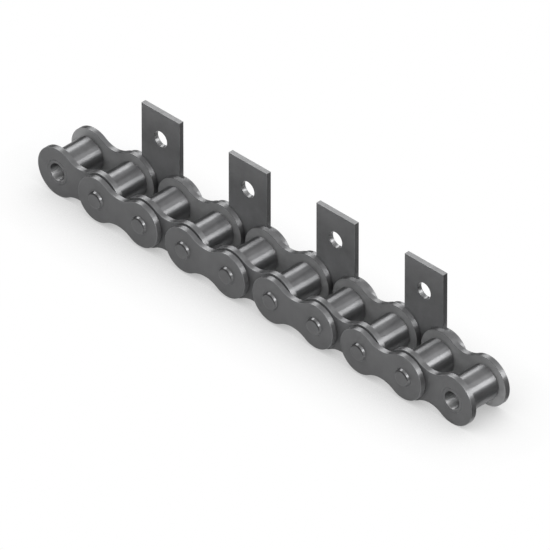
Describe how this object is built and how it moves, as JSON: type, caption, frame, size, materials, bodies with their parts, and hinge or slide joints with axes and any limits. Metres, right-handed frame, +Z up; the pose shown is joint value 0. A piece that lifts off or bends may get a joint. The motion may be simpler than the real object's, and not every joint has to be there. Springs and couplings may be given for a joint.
{
  "type": "roller chain with upright attachments",
  "caption": "Strand of roller chain whose outer links carry, on one side, a flat upright tab with one hole for slats or carriers.",
  "frame": {"origin": "under the middle of the strand, at the height of the lowest points of the inner plates; the pin centreline is 8.65 mm above it", "axes": "+X along the strand, +Y across it towards the plates with tabs, +Z up along the tabs"},
  "size_m": [0.1888, 0.0226, 0.0369],
  "materials": {
    "inner_plate_steel": "tumbled, oiled dark steel",
    "outer_plate_steel": "tumbled, oiled dark steel, sheared edges brighter",
    "bush_steel": "turned steel",
    "roller_steel": "smooth polished steel with a light oil film",
    "pin_steel": "ground steel, riveted end"
  },
  "bodies": {
    "inner_link_1": {"inner_plate_near_1": "inner_plate_steel", "inner_plate_far_1": "inner_plate_steel", "bush_1": "bush_steel", "bush_2": "bush_steel"},
    "inner_link_2": {"inner_plate_near_2": "inner_plate_steel", "inner_plate_far_2": "inner_plate_steel", "bush_3": "bush_steel", "bush_4": "bush_steel"},
    "inner_link_3": {"inner_plate_near_3": "inner_plate_steel", "inner_plate_far_3": "inner_plate_steel", "bush_5": "bush_steel", "bush_6": "bush_steel"},
    "inner_link_4": {"inner_plate_near_4": "inner_plate_steel", "inner_plate_far_4": "inner_plate_steel", "bush_7": "bush_steel", "bush_8": "bush_steel"},
    "inner_link_5": {"inner_plate_near_5": "inner_plate_steel", "inner_plate_far_5": "inner_plate_steel", "bush_9": "bush_steel", "bush_10": "bush_steel"},
    "outer_link_1": {"outer_plate_1": "outer_plate_steel", "attachment_plate_1": "outer_plate_steel", "pin_2": "pin_steel", "pin_3": "pin_steel"},
    "outer_link_2": {"outer_plate_2": "outer_plate_steel", "attachment_plate_2": "outer_plate_steel", "pin_4": "pin_steel", "pin_5": "pin_steel"},
    "outer_link_3": {"outer_plate_3": "outer_plate_steel", "attachment_plate_3": "outer_plate_steel", "pin_6": "pin_steel", "pin_7": "pin_steel"},
    "outer_link_4": {"outer_plate_4": "outer_plate_steel", "attachment_plate_4": "outer_plate_steel", "pin_8": "pin_steel", "pin_9": "pin_steel"},
    "roller_1": {"roller_1": "roller_steel"},
    "roller_2": {"roller_2": "roller_steel"},
    "roller_3": {"roller_3": "roller_steel"},
    "roller_4": {"roller_4": "roller_steel"},
    "roller_5": {"roller_5": "roller_steel"},
    "roller_6": {"roller_6": "roller_steel"},
    "roller_7": {"roller_7": "roller_steel"},
    "roller_8": {"roller_8": "roller_steel"},
    "roller_9": {"roller_9": "roller_steel"},
    "roller_10": {"roller_10": "roller_steel"}
  },
  "joints": [
    {"name": "pin_6_hinge", "type": "hinge", "parent": "inner_link_3", "child": "outer_link_3", "pos_m": [0.00953, 0, 0.00865], "axis": [0, 1, 0], "range_deg": [-20, 36]},
    {"name": "pin_7_hinge", "type": "hinge", "parent": "outer_link_3", "child": "inner_link_4", "pos_m": [0.02857, 0, 0.00865], "axis": [0, 1, 0], "range_deg": [-20, 36]},
    {"name": "pin_8_hinge", "type": "hinge", "parent": "inner_link_4", "child": "outer_link_4", "pos_m": [0.04763, 0, 0.00865], "axis": [0, 1, 0], "range_deg": [-20, 36]},
    {"name": "pin_9_hinge", "type": "hinge", "parent": "outer_link_4", "child": "inner_link_5", "pos_m": [0.06667, 0, 0.00865], "axis": [0, 1, 0], "range_deg": [-20, 36]},
    {"name": "pin_5_hinge", "type": "hinge", "parent": "inner_link_3", "child": "outer_link_2", "pos_m": [-0.00953, 0, 0.00865], "axis": [0, -1, 0], "range_deg": [-20, 36]},
    {"name": "pin_4_hinge", "type": "hinge", "parent": "outer_link_2", "child": "inner_link_2", "pos_m": [-0.02857, 0, 0.00865], "axis": [0, -1, 0], "range_deg": [-20, 36]},
    {"name": "pin_3_hinge", "type": "hinge", "parent": "inner_link_2", "child": "outer_link_1", "pos_m": [-0.04763, 0, 0.00865], "axis": [0, -1, 0], "range_deg": [-20, 36]},
    {"name": "pin_2_hinge", "type": "hinge", "parent": "outer_link_1", "child": "inner_link_1", "pos_m": [-0.06667, 0, 0.00865], "axis": [0, -1, 0], "range_deg": [-20, 36]},
    {"name": "roller_1_spin", "type": "hinge", "parent": "inner_link_1", "child": "roller_1", "pos_m": [-0.08572, 0, 0.00865], "axis": [0, 1, 0], "continuous": true},
    {"name": "roller_2_spin", "type": "hinge", "parent": "inner_link_1", "child": "roller_2", "pos_m": [-0.06667, 0, 0.00865], "axis": [0, 1, 0], "continuous": true},
    {"name": "roller_3_spin", "type": "hinge", "parent": "inner_link_2", "child": "roller_3", "pos_m": [-0.04763, 0, 0.00865], "axis": [0, 1, 0], "continuous": true},
    {"name": "roller_4_spin", "type": "hinge", "parent": "inner_link_2", "child": "roller_4", "pos_m": [-0.02857, 0, 0.00865], "axis": [0, 1, 0], "continuous": true},
    {"name": "roller_5_spin", "type": "hinge", "parent": "inner_link_3", "child": "roller_5", "pos_m": [-0.00953, 0, 0.00865], "axis": [0, 1, 0], "continuous": true},
    {"name": "roller_6_spin", "type": "hinge", "parent": "inner_link_3", "child": "roller_6", "pos_m": [0.00953, 0, 0.00865], "axis": [0, 1, 0], "continuous": true},
    {"name": "roller_7_spin", "type": "hinge", "parent": "inner_link_4", "child": "roller_7", "pos_m": [0.02857, 0, 0.00865], "axis": [0, 1, 0], "continuous": true},
    {"name": "roller_8_spin", "type": "hinge", "parent": "inner_link_4", "child": "roller_8", "pos_m": [0.04763, 0, 0.00865], "axis": [0, 1, 0], "continuous": true},
    {"name": "roller_9_spin", "type": "hinge", "parent": "inner_link_5", "child": "roller_9", "pos_m": [0.06667, 0, 0.00865], "axis": [0, 1, 0], "continuous": true},
    {"name": "roller_10_spin", "type": "hinge", "parent": "inner_link_5", "child": "roller_10", "pos_m": [0.08572, 0, 0.00865], "axis": [0, 1, 0], "continuous": true}
  ]
}
